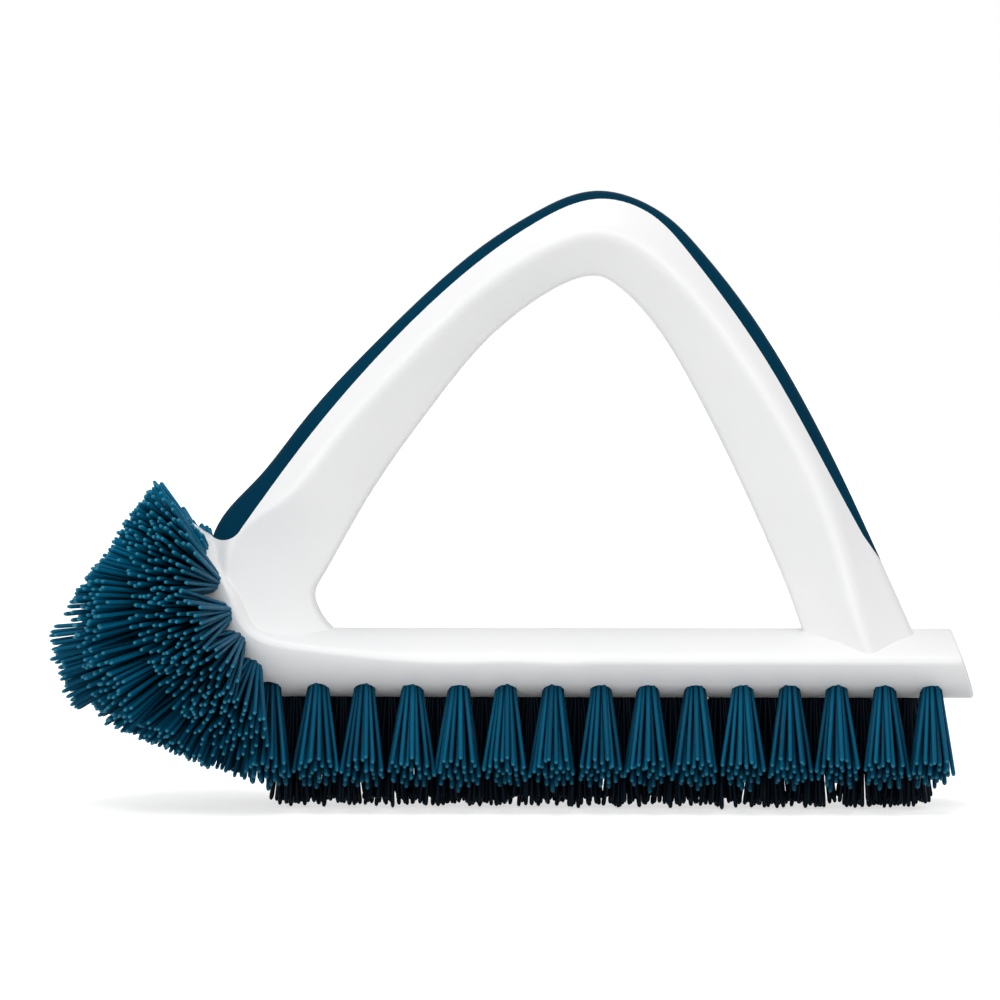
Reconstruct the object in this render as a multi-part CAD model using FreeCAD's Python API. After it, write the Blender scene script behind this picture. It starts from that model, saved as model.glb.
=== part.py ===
import FreeCAD, Part
import math
import os

# Hand scrub brush with an arched closed handle. Millimetres, +Z up, +X towards the heel.
# Everything is worked out from the place where the toe starts to rise (x = 0), and the
# finished pieces are moved so that the origin lies under the middle of the brush.

Vec = FreeCAD.Vector

# Brush block
deck_length = 128.0            # heel's lower edge to the place where the toe starts to rise
sole_height = 25.9             # underside above the bristle tips
sole_bulge = 9.8               # underside below the block's widest line
deck_crown = 6.4               # crest of the deck above the widest line
block_half_width = 15.0
edge_radius = 1.8              # rounding of the block's long edges
heel_lean = 5.6                # how far the heel's top stands in from its lower edge
heel_bulge = 0.6               # how far the heel is rounded out between the two
heel_radius = 0.8              # rounding of the heel's rim

# Upturned toe: the widest line's run and rise, and the section at each station
toe_run = 52.0
toe_rise = 27.8
toe_run_shares = (0.0, 0.34, 0.57, 0.71, 0.79, 0.83, 0.90, 1.008)
toe_rise_shares = (0.0, 0.062, 0.125, 0.187, 0.277, 0.411, 0.655, 1.025)
toe_out_angles = (-90.0, -90.0, -87.0, -74.0, -42.0, -8.0, 22.0, 35.0)
toe_width_shares = (1.0, 1.0, 0.995, 0.975, 0.95, 0.935, 0.88, 0.74)
toe_bulge_shares = (1.0, 1.17, 1.35, 1.42, 1.26, 1.19, 1.08, 0.66)   # of sole_bulge
toe_back_shares = (1.0, 0.73, 0.45, 0.26, 0.47, 0.58, 0.84, 1.0)       # of deck_crown
straight_shares = (0.30, 0.20, 0.10)   # straight sections that lead into the toe, of deck_length

# Handle: outer and inner points of each section, as shares of the span and the rise
handle_rise = 102.3            # top of the grip above the deck's crest
heel_setback = 14.4            # rear foot's outer corner in from the heel's lower edge
handle_half_width = 12.0
inner_half_width = 4.6
crest_half_width = 6.4
inner_radius = 2.4             # rounding of the edges round the hand opening
ridge_radius = 4.2             # rounding of the widest line
crest_radius = 4.0             # rounding of the edges beside the crest
outer_shares = (
    (0.040, -0.040), (0.009, 0.080), (0.006, 0.136), (0.017, 0.225), (0.075, 0.341), (0.131, 0.454),
    (0.243, 0.654), (0.356, 0.826), (0.469, 0.952), (0.561, 1.0), (0.638, 0.959),
    (0.694, 0.879), (0.807, 0.633), (0.892, 0.380), (0.952, 0.172), (1.0, 0.0), (1.017, -0.0635),
)
inner_shares = (
    (0.240, -0.040), (0.168, 0.026), (0.157, 0.070), (0.167, 0.116), (0.197, 0.201), (0.235, 0.307),
    (0.326, 0.515), (0.422, 0.693), (0.519, 0.796), (0.553, 0.807), (0.574, 0.796),
    (0.608, 0.751), (0.700, 0.526), (0.773, 0.284), (0.827, 0.081), (0.846, -0.004), (0.8615, -0.0635),
)
width_shares = (
    1.0, 1.0, 1.0, 0.93, 0.96, 0.98, 1.0, 1.0, 1.0, 1.0, 1.0, 1.01, 1.04, 1.10, 1.15, 1.18, 1.18,
)
ridge_shares = (               # place of the widest line across each section
    0.75, 0.79, 0.83, 0.85, 0.70, 0.64, 0.60, 0.57, 0.53, 0.51, 0.53, 0.57, 0.67, 0.74, 0.63, 0.53, 0.52,
)

# Joints between handle and block
front_seat_shares = ((0.0, 0.205), (0.160, 0.056))   # ends of the slanted front seat
peg_radius = 3.0
peg_length = 5.0
peg_root = 4.0                 # how far each peg is rooted in the foot
front_peg_shares = (0.45, 0.78)     # along the front seat
rear_peg_shares = (0.30, 0.68)      # along the rear foot
fit_clearance = 0.15

# Soft grip and the ribbed channel behind it
grip_depth = 4.3
first_grip_station = 4
last_grip_station = 13
grip_depth_shares = (0.91, 0.79, 0.62, 0.57, 0.49, 0.42, 0.37, 0.56, 0.66, 0.56)
grip_front_shares = ((0.056, 0.232), (0.033, 0.206), (0.010, 0.217))
grip_rear_shares = ((0.930, 0.218), (0.952, 0.167))
tongue_depth = 2.6
tongue_half_width = 3.0
pocket_share = 0.62            # floor of the channel's pockets, of the section's depth
rib_thickness = 2.4

# Tufts
tuft_pitch = 11.0
tuft_setback = 10.0            # last tuft of the side rows in from the heel's lower edge
row_angle = 30.0               # side rows, round the underside from its lowest line
hole_radius = 2.5
hole_depth = 5.0
tuft_clearance = 0.05
row_stem = 1.0                 # straight length outside the hole before a tuft of the rows flares
tuft_gap = 0.3                 # between the tips of neighbours
side_length = 22.5             # exposed length of the side rows
toe_stem = 3.6                 # straight length on the nose, where the mouths are slanted
toe_length = 34.6              # longest tufts, at the front of the nose
toe_tip_radius = 4.5
toe_inner_shares = (           # each tuft's station along the toe, place across it and length
    (3.60, 0.27, 0.72), (4.44, 0.37, 0.88), (5.26, 0.38, 0.86),
)
toe_outer_shares = (
    (3.16, 0.58, 0.62), (3.90, 0.74, 0.66), (4.92, 0.77, 0.72), (5.80, 0.76, 0.68), (6.42, 0.68, 0.62),
)
toe_centre_shares = (
    (3.10, 0.0, 0.66), (4.02, 0.0, 0.84), (4.70, 0.0, 1.0), (5.50, 0.0, 0.80), (6.24, 0.0, 0.66),
)
toe_column_shares = (          # name, side of the brush and tufts of each column
    ("near_outer", -1, toe_outer_shares), ("near_inner", -1, toe_inner_shares),
    ("centre", 0, toe_centre_shares),
    ("far_inner", 1, toe_inner_shares), ("far_outer", 1, toe_outer_shares),
)
anchor_thickness = 0.6
anchor_height = 2.0
anchor_bite = 0.3              # how far the plate cuts into the hole's wall on each side

overrun = 6.0                  # how far cutting solids reach past what they cut

edge_height = sole_height + sole_bulge
deck_height = edge_height + deck_crown
handle_span = deck_length + toe_run - heel_setback
side_axis = Vec(0, 1, 0)
up_axis = Vec(0, 0, 1)


def side_point(x, z):
    return Vec(x, 0, z)


def handle_point(shares):
    run, rise = shares
    return side_point(run * handle_span - toe_run, deck_height + rise * handle_rise)


def mix(a, b, share):
    return a + (b - a) * share


def unit(v):
    return v * (1.0 / v.Length)


def arc(a, middle, b):
    return Part.Arc(a, middle, b).toShape()


def line(a, b):
    return Part.LineSegment(a, b).toShape()


def spline(points):
    curve = Part.BSplineCurve()
    curve.interpolate(points)
    return curve.toShape()


def loft(sections):
    solid, ruled, closed, degree = True, False, False, 3
    return Part.makeLoft(sections, solid, ruled, closed, degree)


def rounded_ring(corners, radii):
    # strips round an outline with rounded corners: start, where the tangents meet, end
    rounds = []
    for k, corner in enumerate(corners):
        before = unit(corners[k - 1] - corner)
        after = unit(corners[(k + 1) % len(corners)] - corner)
        reach = radii[k] / math.tan(before.getAngle(after) / 2)
        rounds.append((corner + before * reach, corner, corner + after * reach))
    ring = []
    for this, following in zip(rounds, rounds[1:] + rounds[:1]):
        ring += [this, (this[2], mix(this[2], following[0], 0.5), following[0])]
    return ring


def skin(rings):
    # solid whose faces run smoothly through the same strip of every ring
    middles = [sum((strip[0] for strip in ring), Vec()) * (1.0 / len(ring)) for ring in rings]
    along = [0.0]
    for a, b in zip(middles, middles[1:]):
        along.append(along[-1] + (b - a).Length)
    faces = []
    ends = [], []
    for strips in zip(*rings):
        curve = Part.BSplineCurve()
        rows = []
        for line_of_points in zip(*strips):
            curve.interpolate(Points=line_of_points, Parameters=along)
            rows.append(curve.getPoles())
        face = Part.BSplineSurface()
        face.buildFromPolesMultsKnots(rows, [3, 3], curve.getMultiplicities(), [0.0, 1.0], curve.getKnots(),
                                      False, False, 2, curve.Degree)
        faces.append(face.toShape())
        for end, place in zip(ends, (along[0], along[-1])):
            end.append(face.vIso(place).toShape())
    shell = Part.Shell(faces + [Part.Face(Part.Wire(end)) for end in ends])
    shell.sewShape()
    return Part.Solid(shell)


def side_slab(edges, half_width):
    # closed outline in the side view, made a slab that is even about the middle plane
    face = Part.Face(Part.Wire(edges))
    face.translate(side_axis * -half_width)
    return face.extrude(side_axis * (half_width + half_width))


def side_polygon_slab(points, half_width):
    return side_slab(Part.makePolygon(points + points[:1]).Edges, half_width)


# Brush block

def toe_station(s):
    # edge point, outward direction, half width, bulge and back at a place along the toe
    i = min(int(s), len(toe_run_shares) - 2)
    part = s - i

    def at(values):
        return values[i] + (values[i + 1] - values[i]) * part

    angle = math.radians(at(toe_out_angles))
    edge = side_point(-toe_run * at(toe_run_shares), edge_height + toe_rise * at(toe_rise_shares))
    out = side_point(-math.cos(angle), math.sin(angle))
    half_width = block_half_width * at(toe_width_shares)
    return edge, out, half_width, sole_bulge * at(toe_bulge_shares), deck_crown * at(toe_back_shares)


def lens_section(edge, out, half_width, bulge, back):
    # two arcs that would meet at the edge line, with a tangent arc rounding each meeting
    sole_radius = (half_width ** 2 + bulge ** 2) / (bulge + bulge)
    back_radius = (half_width ** 2 + back ** 2) / (back + back)
    sole_centre = bulge - sole_radius
    back_centre = back_radius - back
    sole_reach = sole_radius - edge_radius
    back_reach = back_radius - edge_radius
    gap = back_centre - sole_centre
    height = (sole_reach ** 2 - back_reach ** 2 + back_centre ** 2 - sole_centre ** 2) / (gap + gap)
    width = math.sqrt(sole_reach ** 2 - (height - sole_centre) ** 2)

    def on_side(sign):
        centre = edge + out * height + side_axis * (sign * width)
        sole = centre + unit(centre - edge - out * sole_centre) * edge_radius
        deck = centre + unit(centre - edge - out * back_centre) * edge_radius
        middle = centre + unit(sole + deck - centre - centre) * edge_radius
        return sole, middle, deck

    near = on_side(-1)
    far = on_side(1)
    return Part.Wire([
        arc(near[0], edge + out * bulge, far[0]),
        arc(*far),
        arc(far[2], edge - out * back, near[2]),
        arc(near[2], near[1], near[0]),
    ])


def straight_section(x):
    down = up_axis * -1
    edge = side_point(x, edge_height)
    return lens_section(edge, down, block_half_width, sole_bulge, deck_crown)


def make_rear(section):
    # straight part of the bar with its leaning heel
    bar = Part.Face(section).extrude(Vec(deck_length, 0, 0))
    lean = heel_lean / (sole_bulge + deck_crown)
    top = side_point(deck_length - heel_lean - lean * overrun, deck_height + overrun)
    low = side_point(deck_length + lean * overrun, sole_height - overrun)
    middle = mix(top, low, 0.5) + Vec(heel_bulge, 0, 0)
    beyond = Vec(deck_length, 0, 0)
    outside = side_slab([
        arc(top, middle, low),
        line(low, low + beyond),
        line(low + beyond, top + beyond),
        line(top + beyond, top),
    ], block_half_width + overrun)
    rear = bar.cut(outside)
    heel = max(rear.Faces, key=lambda face: face.CenterOfMass.x)
    return rear.makeFillet(heel_radius, heel.Edges)


def make_bar():
    straight = [straight_section(share * deck_length) for share in straight_shares]
    toe = [lens_section(*toe_station(s)) for s in range(len(toe_run_shares))]
    return loft(straight + toe).fuse(make_rear(straight[0]))


# Handle

def handle_ring(i):
    inner = handle_point(inner_shares[i])
    outer = handle_point(outer_shares[i])
    across = outer - inner

    def pair(half_width, share):
        return [inner + across * share + side_axis * side for side in (-half_width, half_width)]

    near_inner, far_inner = pair(inner_half_width, 0)
    near_ridge, far_ridge = pair(handle_half_width * width_shares[i], ridge_shares[i])
    near_crest, far_crest = pair(crest_half_width, 1)
    return rounded_ring(
        [near_inner, far_inner, far_ridge, far_crest, near_crest, near_ridge],
        [inner_radius, inner_radius, ridge_radius, crest_radius, crest_radius, ridge_radius])


def make_arch():
    return skin([handle_ring(i) for i in range(len(outer_shares))])


def front_seat():
    return [handle_point(shares) for shares in front_seat_shares]


def space_below_seat():
    outer, inner = front_seat()
    along = unit(inner - outer)
    return side_polygon_slab([
        outer - along * (block_half_width + overrun),
        inner + along * block_half_width,
        side_point(inner.x, -overrun),
        side_point(-toe_run - toe_run, -overrun),
    ], block_half_width + overrun)


def make_pegs(extra):
    # two pegs on each foot, along the seat's square or straight down
    outer, inner = front_seat()
    along = unit(inner - outer)
    into_block = Vec(along.z, 0, -along.x)
    rear_inner = handle_point(inner_shares[-2])
    rear_outer = handle_point(outer_shares[-2])
    places = [(mix(outer, inner, share), into_block) for share in front_peg_shares]
    places += [(mix(rear_inner, rear_outer, share), up_axis * -1) for share in rear_peg_shares]
    return [Part.makeCylinder(peg_radius + extra, peg_root + peg_length + extra, seat - into * peg_root, into)
            for seat, into in places]


# Soft grip

def grip_station(i):
    # outer point, inward direction, depth of the whole section and depth of the grip
    outer = handle_point(outer_shares[i])
    inner = handle_point(inner_shares[i])
    depth = (inner - outer).Length
    return outer, unit(inner - outer), depth, grip_depth * grip_depth_shares[i - first_grip_station]


def grip_stations():
    return [grip_station(i) for i in range(first_grip_station, last_grip_station + 1)]


def grip_space():
    # side view of everything outside the line where the grip meets the handle
    corner, tip, front = [handle_point(shares) for shares in grip_front_shares]
    rear, rear_tip = [handle_point(shares) for shares in grip_rear_shares]
    stations = grip_stations()
    seam = [corner] + [outer + inward * depth for outer, inward, whole, depth in stations] + [rear]
    outside = [outer - inward * overrun for outer, inward, whole, depth in stations]
    front_outside = front + unit(front - corner) * overrun
    rear_outside = rear_tip + unit(rear_tip - rear) * overrun
    return side_slab([
        arc(corner, tip, front),
        line(front, front_outside),
        line(front_outside, outside[0]),
        spline(outside),
        line(outside[-1], rear_outside),
        line(rear_outside, rear),
        spline(seam[::-1]),
    ], handle_half_width + overrun)


def channel_slab(start, end, half_width):
    # strip of the side view between two depths behind the seam, without the grip's two ends
    stations = grip_stations()
    top = [outer + inward * (depth + start) for outer, inward, whole, depth in stations]
    low = [outer + inward * (depth + end) for outer, inward, whole, depth in stations]
    edges = [spline(top), line(top[-1], low[-1]), spline(low[::-1]), line(low[0], top[0])]
    return side_slab(edges, half_width)


def make_pockets():
    # hollows between the ribs, open to the groove that holds the grip's tongue
    stations = grip_stations()
    pockets = []
    for first, second in zip(stations, stations[1:]):
        along = unit(second[0] - first[0]) * (rib_thickness / 2)
        top = [first[0] + first[1] * (first[3] + tongue_depth / 2) + along,
               second[0] + second[1] * (second[3] + tongue_depth / 2) - along]
        low = [second[0] + second[1] * (second[2] * pocket_share) - along,
               first[0] + first[1] * (first[2] * pocket_share) + along]
        pockets.append(side_polygon_slab(top + low, tongue_half_width))
    return pockets


# Tufts

def tuft_basis(mouth, out):
    # placement whose z axis runs out of the hole and whose x axis lies across the brush
    return FreeCAD.Placement(mouth, FreeCAD.Rotation(side_axis, Vec(), out, "ZXY"))


def make_hole(place):
    hole = Part.makeCylinder(hole_radius, hole_depth + overrun, up_axis * -hole_depth)
    hole.Placement = place
    return hole


def make_anchor(place):
    length = hole_radius + hole_radius + anchor_bite + anchor_bite
    corner = Vec(-length / 2, -anchor_thickness / 2, -hole_depth)
    anchor = Part.makeBox(length, anchor_thickness, anchor_height, corner)
    anchor.Placement = place
    return anchor


def make_tuft(place, stem, length, tip_radius, anchor):
    stem_radius = hole_radius - tuft_clearance
    outline = [Vec(0, 0, tuft_clearance - hole_depth), Vec(stem_radius, 0, tuft_clearance - hole_depth),
               Vec(stem_radius, 0, stem), Vec(tip_radius, 0, length), Vec(0, 0, length)]
    tuft = Part.Face(Part.makePolygon(outline + outline[:1])).revolve(Vec(), up_axis, 360)
    tuft.Placement = place
    return tuft.cut(anchor)


def straight_tufts():
    # name, placement, stem, length and tip radius of each tuft in the three straight rows
    sole_radius = (block_half_width ** 2 + sole_bulge ** 2) / (sole_bulge + sole_bulge)
    last = deck_length - tuft_setback
    count = int((last + toe_run * toe_run_shares[3]) / tuft_pitch) + 1
    tip_radius = (tuft_pitch - tuft_gap) / 2
    tufts = []
    for k in range(count):
        x = last - tuft_pitch * (count - 1 - k)
        for name, angle, shift, length in (("near_tuft", -row_angle, 0, side_length),
                                           ("centre_tuft", 0, tuft_pitch / 2, sole_height),
                                           ("far_tuft", row_angle, 0, side_length)):
            if shift and k == count - 1:
                continue
            out = Vec(0, math.sin(math.radians(angle)), -math.cos(math.radians(angle)))
            mouth = Vec(x + shift, 0, sole_height + sole_radius) + out * sole_radius
            tufts.append(("%s_%02d" % (name, k + 1), tuft_basis(mouth, out), row_stem, length, tip_radius))
    return tufts


def toe_tufts():
    # the same for the fan round the nose, where one name covers a whole column
    tufts = []
    for column, side, shares in toe_column_shares:
        for s, side_share, length_share in shares:
            edge, out, half_width, bulge, back = toe_station(s)
            radius = (half_width ** 2 + bulge ** 2) / (bulge + bulge)
            spread = 2 * math.atan2(bulge, half_width) * side_share * side
            lean = out * math.cos(spread) + side_axis * math.sin(spread)
            mouth = edge + out * (bulge - radius) + lean * radius
            length = toe_length * length_share
            tufts.append(("toe_tufts_" + column, tuft_basis(mouth, lean), toe_stem, length, toe_tip_radius))
    return tufts


def build():
    bar = make_bar()
    arch = make_arch()
    below_seat = space_below_seat()
    block = bar.fuse(arch.common(below_seat))
    handle = arch.cut(below_seat).cut(bar)

    tufts = straight_tufts() + toe_tufts()
    anchors = [make_anchor(tuft[1]) for tuft in tufts]
    holes = [make_hole(tuft[1]) for tuft in tufts]
    block = block.cut(make_pegs(fit_clearance) + holes + anchors)

    outside = grip_space()
    grip = handle.common(outside).fuse(channel_slab(-grip_depth * grip_depth_shares[6] / 2, tongue_depth,
                                                    tongue_half_width - fit_clearance))
    groove = channel_slab(-overrun, tongue_depth + fit_clearance, tongue_half_width)
    handle = handle.cut(outside).cut([groove] + make_pockets()).fuse(make_pegs(0))

    pieces = {"brush_block": [block], "handle_frame": [handle], "grip_strip": [grip], "tuft_anchors": anchors}
    for (name, *sizes), anchor in zip(tufts, anchors):
        pieces.setdefault(name, []).append(make_tuft(*sizes, anchor))
    return pieces


def main():
    pieces = build()
    shapes = {name: Part.makeCompound([s for piece in solids for s in piece.Solids])
              for name, solids in pieces.items()}
    box = Part.makeCompound(list(shapes.values())).optimalBoundingBox(False, False)
    to_middle = Vec(-box.Center.x, 0, 0)
    os.makedirs("parts", exist_ok=True)
    for name, shape in shapes.items():
        shape.translate(to_middle)
        print(name, shape.isValid(), len(shape.Solids), round(shape.Volume))
        shape.exportStep("parts/" + name + ".step")


main()
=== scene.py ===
import math

import bmesh
import bpy
import numpy as np
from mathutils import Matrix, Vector


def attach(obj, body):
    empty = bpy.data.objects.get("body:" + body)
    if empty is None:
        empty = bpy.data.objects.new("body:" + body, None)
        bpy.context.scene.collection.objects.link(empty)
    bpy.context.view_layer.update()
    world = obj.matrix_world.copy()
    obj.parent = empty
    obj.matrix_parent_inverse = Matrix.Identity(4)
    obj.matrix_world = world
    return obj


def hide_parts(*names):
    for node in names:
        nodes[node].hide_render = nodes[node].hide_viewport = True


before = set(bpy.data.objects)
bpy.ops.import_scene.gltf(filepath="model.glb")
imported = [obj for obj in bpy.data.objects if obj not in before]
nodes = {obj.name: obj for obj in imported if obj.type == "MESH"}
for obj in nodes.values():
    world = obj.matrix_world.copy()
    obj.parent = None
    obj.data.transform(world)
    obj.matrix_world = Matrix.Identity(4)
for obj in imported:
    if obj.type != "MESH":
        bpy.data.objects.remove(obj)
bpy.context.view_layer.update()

collection = bpy.context.scene.collection
mergeReach = 0.000002  # corners of a solid this close are one
print("frame loaded,", len(nodes), "nodes")


# small helpers for node trees

def findSocket(sockets, key):
    if isinstance(key, int):
        return sockets[key]
    for socket in sockets:
        if socket.identifier == key:
            return socket
    return next(s for s in sockets if s.name == key and s.enabled)


def put(tree, kind, wires=None, **settings):
    node = tree.nodes.new(kind)
    for name, value in settings.items():
        setattr(node, name, value)
    for key, value in (wires or {}).items():
        socket = findSocket(node.inputs, key)
        if isinstance(value, bpy.types.NodeSocket):
            tree.links.new(value, socket)
        else:
            socket.default_value = value
    return node


def calc(tree, operation, *values):
    return put(tree, "ShaderNodeMath", dict(enumerate(values)), operation=operation).outputs[0]


def calcVector(tree, operation, *values):
    node = put(tree, "ShaderNodeVectorMath", dict(enumerate(values)), operation=operation)
    return node.outputs[1] if operation in ("LENGTH", "DOT_PRODUCT") else node.outputs[0]


def scaled(tree, vector, amount):
    return put(tree, "ShaderNodeVectorMath", {0: vector, "Scale": amount}, operation="SCALE").outputs[0]


def rising(tree, value, low, high):
    # 0 at the low value, 1 at the high one
    return put(tree, "ShaderNodeMapRange", {0: value, 1: low, 2: high}).outputs[0]


def between(tree, share, low, high):
    return put(tree, "ShaderNodeMapRange", {0: share, 3: low, 4: high}).outputs[0]


def bentLine(tree, value, stops):
    # a value read off a line through a few stops, the two ends first
    node = put(tree, "ShaderNodeFloatCurve", {"Value": value})
    line = node.mapping.curves[0]
    for k, (x, y) in enumerate(stops):
        point = line.points[k] if k < 2 else line.points.new(x, y)
        point.location = (x, y)
    for point in line.points:
        point.handle_type = "VECTOR"
    node.mapping.update()
    return node.outputs[0]


def blendColours(tree, share, first, second):
    wires = {"Factor_Float": share, "A_Color": first, "B_Color": second}
    mix = put(tree, "ShaderNodeMix", wires, data_type="RGBA")
    return findSocket(mix.outputs, "Result_Color")


# mould grain, the shader group that every finish shares

def makeMouldGrain():
    # spark-eroded tool texture: fine pits, slow waves of gloss
    group = bpy.data.node_groups.new("mouldGrain", "ShaderNodeTree")
    for label, usual in (("Pit Size", 0.0004), ("Wave Size", 0.03)):
        socket = group.interface.new_socket(name=label, in_out="INPUT", socket_type="NodeSocketFloat")
        socket.default_value = usual
    for label in ("Height", "Wave"):
        group.interface.new_socket(name=label, in_out="OUTPUT", socket_type="NodeSocketFloat")
    given = put(group, "NodeGroupInput").outputs
    place = put(group, "ShaderNodeTexCoord").outputs["Object"]
    pitScale = calc(group, "DIVIDE", 1.0, given["Pit Size"])
    waveScale = calc(group, "DIVIDE", 1.0, given["Wave Size"])
    pits = put(group, "ShaderNodeTexNoise",
               {"Vector": place, "Scale": pitScale, "Detail": 3.0, "Roughness": 0.6}).outputs[0]
    wave = put(group, "ShaderNodeTexNoise",
               {"Vector": place, "Scale": waveScale, "Detail": 2.0}).outputs[0]
    put(group, "NodeGroupOutput", {"Height": pits, "Wave": rising(group, wave, 0.35, 0.65)})
    return group


mouldGrain = makeMouldGrain()


# finishes; lengths in metres, colours in linear light

whitePlastic = {
    "colours": ((0.885, 0.885, 0.885, 1), (0.865, 0.868, 0.872, 1)),
    "gloss": (0.34, 0.44), "specular": 0.5, "metal": 0.0,
    "pitSize": 0.00045, "waveSize": 0.035, "pitDepth": 0.000012,
}
softGrip = {
    "colours": ((0.0003, 0.031, 0.063, 1), (0.0006, 0.038, 0.076, 1)),
    "gloss": (0.52, 0.64), "specular": 0.02, "metal": 0.0,
    "pitSize": 0.0006, "waveSize": 0.02, "pitDepth": 0.00003,
}
anchorSteel = {
    "colours": ((0.40, 0.40, 0.39, 1), (0.62, 0.61, 0.59, 1)),
    "gloss": (0.28, 0.45), "specular": 0.5, "metal": 1.0,
    "pitSize": 0.0002, "waveSize": 0.003, "pitDepth": 0.000004,
}
bristlePlastic = {
    "deep": (0.0005, 0.060, 0.120, 1), "bright": (0.0012, 0.105, 0.200, 1),  # the range of bristle tones
    "tip": (0.02, 0.17, 0.27, 1), "tipHighlightAlong": (0.975, 0.995),                # painted highlight on the cut end, and where it starts
    "paintedShade": (0.0002, 0.003, 0.006, 1),                                     # painted shade deep among other bristles
    "open": (0.22, 0.62), "openReach": 0.012,
    "gloss": (0.36, 0.48), "specular": 0.05,
    "pitSize": 0.0003, "waveSize": 0.004, "pitDepth": 0.000006,
}
# painted shade: the middle row's near-black colours stand in for the shade under the block and between the
# side rows
middleRowShadePlastic = {
    **bristlePlastic,
    "deep": (0.0004, 0.003, 0.008, 1), "bright": (0.0005, 0.007, 0.017, 1), "tip": (0.004, 0.022, 0.036, 1),
}
toePlastic = {
    **bristlePlastic,
    "deep": (0.0003, 0.042, 0.086, 1), "bright": (0.0010, 0.150, 0.280, 1), "tip": (0.03, 0.22, 0.33, 1),
    "open": (0.02, 0.38),
}


def newFinish(name, look):
    finish = bpy.data.materials.new(name)
    finish.use_nodes = True
    tree = finish.node_tree
    tree.nodes.clear()
    shader = put(tree, "ShaderNodeBsdfPrincipled", {"Specular IOR Level": look["specular"]})
    put(tree, "ShaderNodeOutputMaterial", {"Surface": shader.outputs[0]})
    grain = put(tree, "ShaderNodeGroup", node_tree=mouldGrain)
    grain.inputs["Pit Size"].default_value = look["pitSize"]
    grain.inputs["Wave Size"].default_value = look["waveSize"]
    bump = put(tree, "ShaderNodeBump",
               {"Height": grain.outputs["Height"], "Distance": look["pitDepth"], "Strength": 1.0})
    tree.links.new(bump.outputs[0], shader.inputs["Normal"])
    wave = grain.outputs["Wave"]
    tree.links.new(between(tree, wave, *look["gloss"]), shader.inputs["Roughness"])
    return finish, tree, shader, wave


def makeMoulded(name, look):
    finish, tree, shader, wave = newFinish(name, look)
    tree.links.new(blendColours(tree, wave, *look["colours"]), shader.inputs["Base Color"])
    shader.inputs["Metallic"].default_value = look["metal"]
    return finish


def makeBristlePlastic(name, look):
    # every bristle has its own tone (on the toe partly painted light from above), a painted highlight on the
    # cut end, and painted shade deep among the others
    finish, tree, shader = newFinish(name, look)[:3]
    toneAndPaintedLight = put(tree, "ShaderNodeAttribute", attribute_name="toneAndPaintedLight").outputs["Fac"]
    along = put(tree, "ShaderNodeAttribute", attribute_name="along").outputs["Fac"]
    body = blendColours(tree, toneAndPaintedLight, look["deep"], look["bright"])
    # painted highlight: the colour turns paler toward the cut end
    body = blendColours(tree, rising(tree, along, *look["tipHighlightAlong"]), body, look["tip"])
    # painted shade: ambient occlusion darkens the colour toward near-black where other bristles crowd close
    room = put(tree, "ShaderNodeAmbientOcclusion", {"Distance": look["openReach"]}, samples=6).outputs["AO"]
    shaded = blendColours(tree, rising(tree, room, *look["open"]), look["paintedShade"], body)
    tree.links.new(shaded, shader.inputs["Base Color"])
    return finish


whiteFinish = makeMoulded("whitePlastic", whitePlastic)
gripFinish = makeMoulded("softGrip", softGrip)
steelFinish = makeMoulded("anchorSteel", anchorSteel)
rowFinish = makeBristlePlastic("bristlePlastic", bristlePlastic)
middleRowShadeFinish = makeBristlePlastic("middleRowShadePlastic", middleRowShadePlastic)
toeFinish = makeBristlePlastic("toePlastic", toePlastic)
print("finishes made")


# moulded pieces: merged copies of the solids, shaded smooth between their real edges

mouldings = {
    "whiteBlock": {"node": "brush_block", "finish": whiteFinish, "slot": "white_plastic", "edgeAngle": 28.0},
    "whiteHandle": {"node": "handle_frame", "finish": whiteFinish, "slot": "white_plastic",
                    "edgeAngle": 28.0},
    "gripInlay": {"node": "grip_strip", "finish": gripFinish, "slot": "soft_grip", "edgeAngle": 32.0},
}


def mergedShell(node):
    shell = bmesh.new()
    shell.from_mesh(nodes[node].data)
    bmesh.ops.remove_doubles(shell, verts=shell.verts, dist=mergeReach)
    return shell


def smoothCopy(name, settings):
    shell = mergedShell(settings["node"])
    limit = math.radians(settings["edgeAngle"])
    for edge in shell.edges:
        edge.smooth = len(edge.link_faces) == 2 and edge.calc_face_angle(0.0) < limit
    for face in shell.faces:
        face.smooth = True
    mesh = bpy.data.meshes.new(name)
    shell.to_mesh(mesh)
    shell.free()
    mesh.materials.append(settings["finish"])
    piece = bpy.data.objects.new(name, mesh)
    collection.objects.link(piece)
    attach(piece, "root")
    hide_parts(settings["node"])


for name, settings in mouldings.items():
    smoothCopy(name, settings)
nodes["tuft_anchors"].data.materials.clear()
nodes["tuft_anchors"].data.materials.append(steelFinish)
print("mouldings shaded")


# bristles

bristleShape = {
    "sides": 6, "rings": 6,
    "heights": [(0.0, 0.0), (1.0, 1.0), (0.2, 0.33), (0.4, 0.66), (0.6, 0.972), (0.8, 0.989)],
    "widths": [(0.0, 1.0), (1.0, 0.36), (0.4, 1.0), (0.6, 0.97), (0.8, 0.80)],
    "rootDepth": 0.0020,        # how far below the mouth a visible bristle starts
    "footDepth": 0.00495,       # how far below the mouth the tuft's solid starts
    "ragged": 0.0010,           # how unevenly the shears trim
    "shortest": 0.25,           # least share of a bristle that is left
    "paintedLightSlope": (-0.7, 0.6),  # painted light from above: from the slope shaded darkest to the slope lit palest
    "goldenTurn": 2.399963,
}
uncut = {  # planes too far away to trim anything
    "Top Facing": (0, 0, 1), "Top Distance": 1.0, "Low Facing": (0, 0, -1), "Low Distance": 0.0,
    "Back Facing": (0, 0, 1), "Back Distance": 1.0, "Painted Top Light": 0.0,
}
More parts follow.
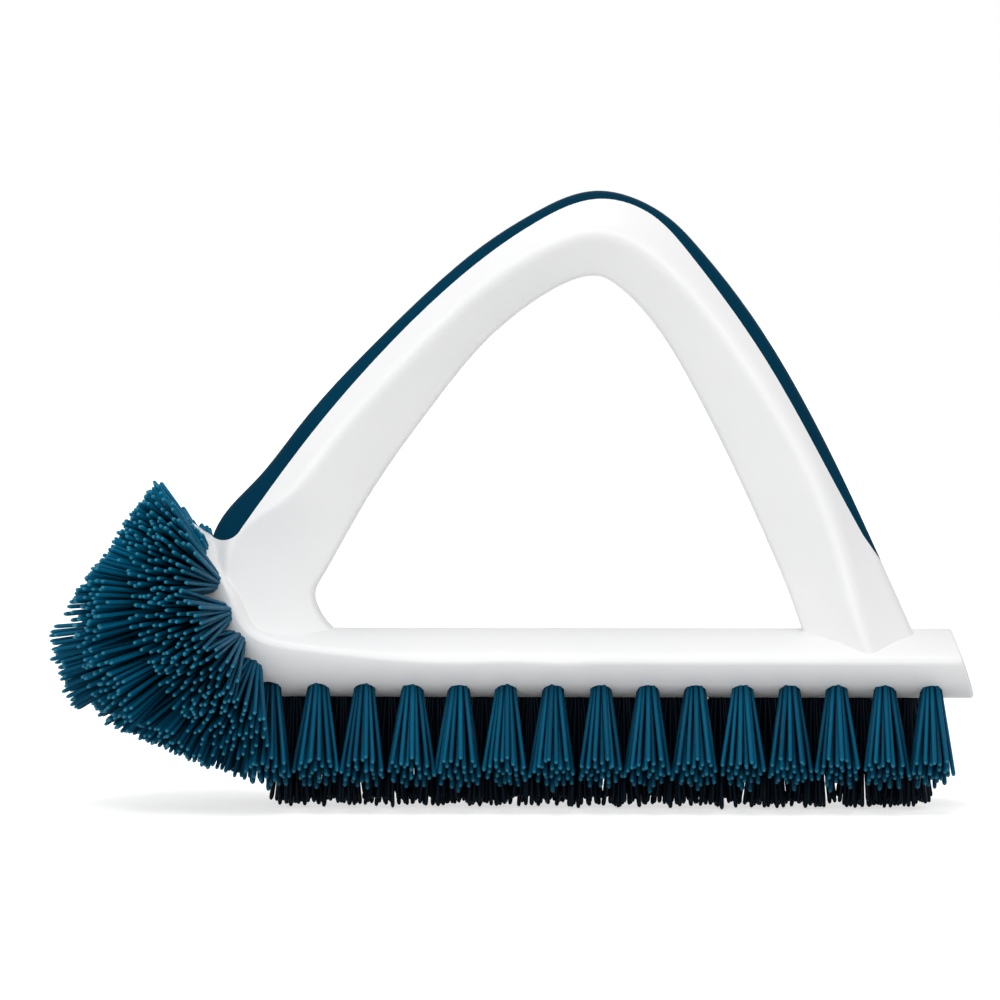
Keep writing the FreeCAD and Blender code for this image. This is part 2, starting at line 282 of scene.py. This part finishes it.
sideRow = {
    "Finish": rowFinish, "Bristle Radius": 0.00058, "Root Radius": 0.00190, "Uneven": 0.06,
    "Stray": 0.00025, "Bend": 0.0008, "Stretch": 1.6, "fan": 1.14, "lift": 0.0, **uncut,
}
bristleRows = {
    "nearBristles": {"nodes": "near_tuft", "Bristles": 26, "Seed": 3, **sideRow},
    "farBristles": {"nodes": "far_tuft", "Bristles": 32, "Seed": 23, **sideRow},
    "centreBristles": {
        "nodes": "centre_tuft", "Bristles": 44, "Seed": 43, "Finish": middleRowShadeFinish,
        "Bristle Radius": 0.00056, "Root Radius": 0.00190, "Uneven": 0.11, "Stray": 0.00080,
        "Bend": 0.0014, "Stretch": 1.2, "fan": 1.25, "lift": 0.0, **uncut,
    },
    "toeBristles": {
        "nodes": "toe_tufts", "Bristles": 66, "Seed": 63, "Finish": toeFinish,
        "Bristle Radius": 0.00053, "Root Radius": 0.00195, "Uneven": 0.07, "Stray": 0.00045,
        # painted light from above on the toe tufts: upward-leaning bristles are coloured paler
        "Bend": 0.0010, "Stretch": 1.0, "fan": 2.5, "lift": 0.8, "Painted Top Light": 0.7,
        "Back Facing": (0.792, 0.065, 0.607), "Back Distance": -0.0187,
        "Top Facing": (-0.813, 0, 0.581), "Top Distance": 0.1123,
        "Low Facing": (-0.3615, 0, -0.932), "Low Distance": 0.01635,
    },
}
bristleInputs = (
    ("Tufts", "NodeSocketGeometry"), ("Bristles", "NodeSocketInt"),
    ("Bristle Radius", "NodeSocketFloat"), ("Root Radius", "NodeSocketFloat"),
    ("Uneven", "NodeSocketFloat"), ("Stray", "NodeSocketFloat"), ("Bend", "NodeSocketFloat"),
    ("Stretch", "NodeSocketFloat"), ("Painted Top Light", "NodeSocketFloat"), ("Sides", "NodeSocketInt"),
    ("Back Facing", "NodeSocketVector"), ("Back Distance", "NodeSocketFloat"),
    ("Top Facing", "NodeSocketVector"), ("Top Distance", "NodeSocketFloat"),
    ("Low Facing", "NodeSocketVector"), ("Low Distance", "NodeSocketFloat"),
    ("Seed", "NodeSocketInt"), ("Finish", "NodeSocketMaterial"),
)


def makeBristleTree():
    tree = bpy.data.node_groups.new("bristleFan", "GeometryNodeTree")
    for label, kind in bristleInputs:
        tree.interface.new_socket(name=label, in_out="INPUT", socket_type=kind)
    tree.interface.new_socket(name="Bristle Mesh", in_out="OUTPUT", socket_type="NodeSocketGeometry")
    given = put(tree, "NodeGroupInput").outputs

    def attribute(name, kind):
        return put(tree, "GeometryNodeInputNamedAttribute", {"Name": name}, data_type=kind).outputs[0]

    def store(geometry, name, value, domain):
        wires = {"Geometry": geometry, "Name": name, "Value": value}
        kind = "GeometryNodeStoreNamedAttribute"
        return put(tree, kind, wires, data_type="FLOAT", domain=domain).outputs[0]

    def chance(low, high, step):
        seed = calc(tree, "ADD", given["Seed"], float(step))
        draw = put(tree, "FunctionNodeRandomValue", {"Min_001": low, "Max_001": high, "Seed": seed})
        return findSocket(draw.outputs, "Value_001")

    # one bristle, a unit tall, with a rounded end
    step = put(tree, "GeometryNodeSplineParameter").outputs["Factor"]
    height = bentLine(tree, step, bristleShape["heights"])
    width = bentLine(tree, step, bristleShape["widths"])
    spine = put(tree, "GeometryNodeCurvePrimitiveLine", {"Start": (0, 0, 0), "End": (0, 0, 1)}).outputs[0]
    spine = put(tree, "GeometryNodeResampleCurve",
                {"Curve": spine, "Count": bristleShape["rings"]}).outputs[0]
    spine = store(spine, "along", height, "POINT")
    profile = put(tree, "GeometryNodeCurvePrimitiveCircle",
                  {"Resolution": given["Sides"], "Radius": given["Bristle Radius"]}).outputs[0]
    bristle = put(tree, "GeometryNodeCurveToMesh", {"Curve": spine, "Profile Curve": profile,
                                                    "Scale": width, "Fill Caps": True}).outputs[0]
    position = put(tree, "GeometryNodeInputPosition").outputs[0]
    flat = calcVector(tree, "MULTIPLY", position, (1, 1, 0))
    bow = calc(tree, "MULTIPLY", height, calc(tree, "SUBTRACT", 1.0, height))
    bow = calc(tree, "MULTIPLY", bow, given["Bend"])
    lifted = put(tree, "ShaderNodeCombineXYZ", {0: bow, 2: attribute("along", "FLOAT")}).outputs[0]
    bristle = put(tree, "GeometryNodeSetPosition",
                  {"Geometry": bristle, "Position": calcVector(tree, "ADD", flat, lifted)}).outputs[0]

    # where each bristle of a tuft stands
    many = put(tree, "GeometryNodeDuplicateElements",
               {"Geometry": given["Tufts"], "Amount": given["Bristles"]}, domain="POINT")
    number = many.outputs["Duplicate Index"]
    share = calc(tree, "SQRT", calc(tree, "DIVIDE", calc(tree, "ADD", number, 0.5), given["Bristles"]))
    angle = calc(tree, "ADD", calc(tree, "MULTIPLY", number, bristleShape["goldenTurn"]),
                 attribute("turn", "FLOAT"))
    axis = attribute("axis", "FLOAT_VECTOR")
    side = attribute("side", "FLOAT_VECTOR")
    other = calcVector(tree, "CROSS_PRODUCT", axis, side)

    def around(stretch):
        # place on the tuft's round section, drawn out across the brush
        across = scaled(tree, side, calc(tree, "MULTIPLY", calc(tree, "COSINE", angle), stretch))
        place = calcVector(tree, "ADD", across, scaled(tree, other, calc(tree, "SINE", angle)))
        return scaled(tree, place, share)

    planting = scaled(tree, around(1.0), given["Root Radius"])
    planted = put(tree, "GeometryNodeSetPosition",
                  {"Geometry": many.outputs[0], "Offset": planting}).outputs[0]

    # which way it leans and how far it reaches
    fanning = scaled(tree, around(given["Stretch"]), attribute("spread", "FLOAT"))
    drift = calcVector(tree, "ADD", scaled(tree, side, chance(-1.0, 1.0, 1)),
                       scaled(tree, other, chance(-1.0, 1.0, 2)))
    drift = scaled(tree, drift, given["Stray"])
    short = calc(tree, "MULTIPLY", chance(0.0, 1.0, 3), given["Uneven"])
    reach = calc(tree, "MULTIPLY", attribute("reach", "FLOAT"), calc(tree, "SUBTRACT", 1.0, short))
    opening = calcVector(tree, "ADD", calcVector(tree, "SUBTRACT", fanning, planting), drift)
    lean = calcVector(tree, "ADD", scaled(tree, axis, reach), opening)
    twist = put(tree, "ShaderNodeCombineXYZ", {2: chance(0.0, math.tau, 4)}).outputs[0]
    twist = put(tree, "FunctionNodeEulerToRotation", {0: twist}).outputs[0]
    turned = put(tree, "FunctionNodeAlignRotationToVector", {"Rotation": twist, "Vector": lean},
                 axis="Z").outputs[0]

    def trimmed(plane):
        # share of a bristle on the near side of a trimming plane
        facing = given[plane + " Facing"]
        along = calc(tree, "MAXIMUM", calcVector(tree, "DOT_PRODUCT", lean, facing), 0.00001)
        uneven = calc(tree, "MULTIPLY", chance(0.0, 1.0, 6), bristleShape["ragged"])
        cut = calc(tree, "SUBTRACT", given[plane + " Distance"], uneven)
        free = calc(tree, "SUBTRACT", cut, calcVector(tree, "DOT_PRODUCT", position, facing))
        return calc(tree, "DIVIDE", free, along)

    kept = calc(tree, "MINIMUM", calc(tree, "MINIMUM", trimmed("Top"), trimmed("Low")),
                calc(tree, "MINIMUM", trimmed("Back"), 1.0))
    kept = calc(tree, "MAXIMUM", kept, bristleShape["shortest"])
    length = calc(tree, "MULTIPLY", calcVector(tree, "LENGTH", lean), kept)
    size = put(tree, "ShaderNodeCombineXYZ", {0: 1.0, 1: 1.0, 2: length}).outputs[0]
    stood = put(tree, "GeometryNodeInstanceOnPoints",
                {"Points": planted, "Instance": bristle, "Rotation": turned, "Scale": size}).outputs[0]

    # tone with painted light from above, finish and a plain mesh
    # painted light from above: bristles that lean upward get a paler tone, as if lit from overhead
    upward = put(tree, "ShaderNodeSeparateXYZ", {0: calcVector(tree, "NORMALIZE", lean)}).outputs[2]
    upward = rising(tree, upward, *bristleShape["paintedLightSlope"])
    toneAndPaintedLight = put(tree, "ShaderNodeMix", {"Factor_Float": given["Painted Top Light"],
                                       "A_Float": chance(0.0, 1.0, 5), "B_Float": upward}).outputs[0]
    toned = store(stood, "toneAndPaintedLight", toneAndPaintedLight, "INSTANCE")
    real = put(tree, "GeometryNodeRealizeInstances", {"Geometry": toned}).outputs[0]
    smooth = put(tree, "GeometryNodeSetShadeSmooth", {"Geometry": real, "Shade Smooth": True}).outputs[0]
    dressed = put(tree, "GeometryNodeSetMaterial", {"Geometry": smooth, "Material": given["Finish"]})
    put(tree, "NodeGroupOutput", {0: dressed.outputs[0]})
    return tree


bristleTree = makeBristleTree()


def readTufts(node):
    # flat end, axis, length and tip radius of each tuft's solid
    shell = mergedShell(node)
    left = dict.fromkeys(shell.faces)
    tufts = []
    while left:
        island, reached = [], [left.popitem()[0]]
        while reached:
            face = reached.pop()
            island.append(face)
            for edge in face.edges:
                for other in edge.link_faces:
                    if other in left:
                        del left[other]
                        reached.append(other)
        flats = {}
        for face in island:
            flats.setdefault(tuple(round(c, 2) for c in face.normal), []).append(face)
        end = max(flats.values(), key=lambda faces: sum(f.calc_area() for f in faces))
        area = sum(f.calc_area() for f in end)
        axis = sum((f.normal * f.calc_area() for f in end), Vector()).normalized()
        tip = sum((f.calc_center_median() * f.calc_area() for f in end), Vector()) / area
        foot = min((v.co - tip).dot(axis) for face in island for v in face.verts)
        tufts.append({"tip": tip, "axis": axis, "length": -foot, "radius": math.sqrt(area / math.pi)})
    shell.free()
    return sorted(tufts, key=lambda t: (t["tip"].x, t["tip"].z))


def plantTufts(name, settings, tufts):
    # one point for each tuft, with what its bristles need to know
    roots, axes, sides, reaches, spreads = [], [], [], [], []
    for tuft in tufts:
        axis = tuft["axis"]
        reach = tuft["length"] - bristleShape["footDepth"] + bristleShape["rootDepth"]
        roots.append(tuft["tip"] - axis * reach)
        axis = (axis + Vector((0, 0, settings["lift"] * max(0.0, axis.z)))).normalized()
        axes.append(axis)
        sides.append(axis.cross(Vector((1, 0, 0))).normalized())
        reaches.append(reach)
        spreads.append(tuft["radius"] * settings["fan"] - settings["Bristle Radius"])
    turns = np.random.default_rng(settings["Seed"]).uniform(0.0, math.tau, len(tufts))
    cloud = bpy.data.meshes.new(name + "Roots")
    cloud.from_pydata(roots, [], [])
    for label, values in (("axis", axes), ("side", sides)):
        layer = cloud.attributes.new(label, "FLOAT_VECTOR", "POINT")
        layer.data.foreach_set("vector", np.array(values, np.float32).ravel())
    for label, values in (("reach", reaches), ("spread", spreads), ("turn", turns)):
        layer = cloud.attributes.new(label, "FLOAT", "POINT")
        layer.data.foreach_set("value", np.array(values, np.float32))
    return cloud


def makeBristles(name, settings):
    taken = sorted(n for n in nodes if n.startswith(settings["nodes"]))
    tufts = [tuft for node in taken for tuft in readTufts(node)]
    grower = bpy.data.objects.new(name + "Grower", plantTufts(name, settings, tufts))
    collection.objects.link(grower)
    modifier = grower.modifiers.new("bristleFan", "NODES")
    modifier.node_group = bristleTree
    wanted = {**settings, "Sides": bristleShape["sides"]}
    for item in bristleTree.interface.items_tree:
        if item.in_out == "INPUT" and item.name in wanted:
            modifier[item.identifier] = wanted[item.name]
    bpy.context.view_layer.update()
    graph = bpy.context.evaluated_depsgraph_get()
    grown = grower.evaluated_get(graph)
    mesh = bpy.data.meshes.new_from_object(grown, preserve_all_data_layers=True, depsgraph=graph)
    grower.modifiers.remove(modifier)
    bpy.data.objects.remove(grower)
    mesh.name = name
    piece = bpy.data.objects.new(name, mesh)
    collection.objects.link(piece)
    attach(piece, "root")
    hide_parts(*taken)
    print(name, len(tufts), "tufts,", len(mesh.polygons), "faces")


for name, settings in bristleRows.items():
    makeBristles(name, settings)


# floor, light and camera

studio = {
    "floorSize": 8.0, "paper": 0.80, "worldLight": 0.49,
    "floorLit": (0.62, 0.86), "floorReach": (0.2, 1.2),  # glow of the paper, near the brush and far away
    "keyEnergy": 10.5, "keySize": 1.2, "keyPlace": (-0.15, -0.5, 1.7),
    "fillEnergy": 35.0, "fillSize": 2.0, "fillPlace": (-0.4, -2.6, 0.38),
}
view = {
    "target": (-0.00271, 0.0, 0.0721), "azimuth": 1.4, "elevation": 3.0,
    "lens": 250.0, "sensor": 36.0, "frameWidth": 0.234,
}


def seenDirectly(tree):
    # 1 where the camera, a reflection or a clear piece looks, 0 for light on its way
    path = put(tree, "ShaderNodeLightPath").outputs
    mirrored = calc(tree, "MAXIMUM", path["Is Glossy Ray"], path["Is Transmission Ray"])
    return calc(tree, "MAXIMUM", path["Is Camera Ray"], mirrored)


def makeFloor():
    half = studio["floorSize"] / 2
    corners = [(-half, -half, 0), (half, -half, 0), (half, half, 0), (-half, half, 0)]
    mesh = bpy.data.meshes.new("floor")
    mesh.from_pydata(corners, [], [(0, 1, 2, 3)])
    finish = bpy.data.materials.new("paleFloor")
    finish.use_nodes = True
    tree = finish.node_tree
    tree.nodes.clear()
    paper = put(tree, "ShaderNodeBsdfDiffuse", {"Color": (studio["paper"],) * 3 + (1,)}).outputs[0]
    place = put(tree, "ShaderNodeTexCoord").outputs["Object"]
    away = rising(tree, calcVector(tree, "LENGTH", place), *studio["floorReach"])
    level = between(tree, away, *studio["floorLit"])
    glow = put(tree, "ShaderNodeEmission", {"Color": (1, 1, 1, 1), "Strength": level}).outputs[0]
    lit = put(tree, "ShaderNodeAddShader", {0: paper, 1: glow}).outputs[0]
    shown = put(tree, "ShaderNodeMixShader", {0: seenDirectly(tree), 1: paper, 2: lit}).outputs[0]
    below = put(tree, "ShaderNodeNewGeometry").outputs["Backfacing"]
    clear = put(tree, "ShaderNodeBsdfTransparent").outputs[0]
    whole = put(tree, "ShaderNodeMixShader", {0: below, 1: shown, 2: clear}).outputs[0]
    put(tree, "ShaderNodeOutputMaterial", {"Surface": whole})
    mesh.materials.append(finish)
    floor = bpy.data.objects.new("floor", mesh)
    collection.objects.link(floor)


def makeLamp(name, place, size, energy):
    lamp = bpy.data.lights.new(name, "AREA")
    lamp.shape = "DISK"
    lamp.size = size
    lamp.energy = energy
    holder = bpy.data.objects.new(name, lamp)
    holder.location = place
    holder.rotation_euler = (Vector(view["target"]) - Vector(place)).to_track_quat("-Z", "Y").to_euler()
    collection.objects.link(holder)


def makeWorld():
    world = bpy.data.worlds.new("studio")
    world.use_nodes = True
    tree = world.node_tree
    tree.nodes.clear()
    strength = between(tree, seenDirectly(tree), studio["worldLight"], 1.0)
    back = put(tree, "ShaderNodeBackground", {"Color": (1, 1, 1, 1), "Strength": strength})
    put(tree, "ShaderNodeOutputWorld", {"Surface": back.outputs[0]})
    bpy.context.scene.world = world


def makeCamera():
    azimuth, elevation = math.radians(view["azimuth"]), math.radians(view["elevation"])
    level = math.cos(elevation)
    back = Vector((math.sin(azimuth) * level, -math.cos(azimuth) * level, math.sin(elevation)))
    lens = bpy.data.cameras.new("photoCamera")
    lens.lens = view["lens"]
    lens.sensor_width = view["sensor"]
    lens.clip_end = 100.0
    camera = bpy.data.objects.new("photoCamera", lens)
    distance = view["frameWidth"] * view["lens"] / view["sensor"]
    camera.location = Vector(view["target"]) + back * distance
    camera.rotation_euler = (-back).to_track_quat("-Z", "Y").to_euler()
    collection.objects.link(camera)
    bpy.context.scene.camera = camera


makeFloor()
makeLamp("keyLamp", studio["keyPlace"], studio["keySize"], studio["keyEnergy"])
makeLamp("fillLamp", studio["fillPlace"], studio["fillSize"], studio["fillEnergy"])
makeWorld()
makeCamera()
bpy.context.scene.view_settings.view_transform = "Standard"
print("stage and camera set")
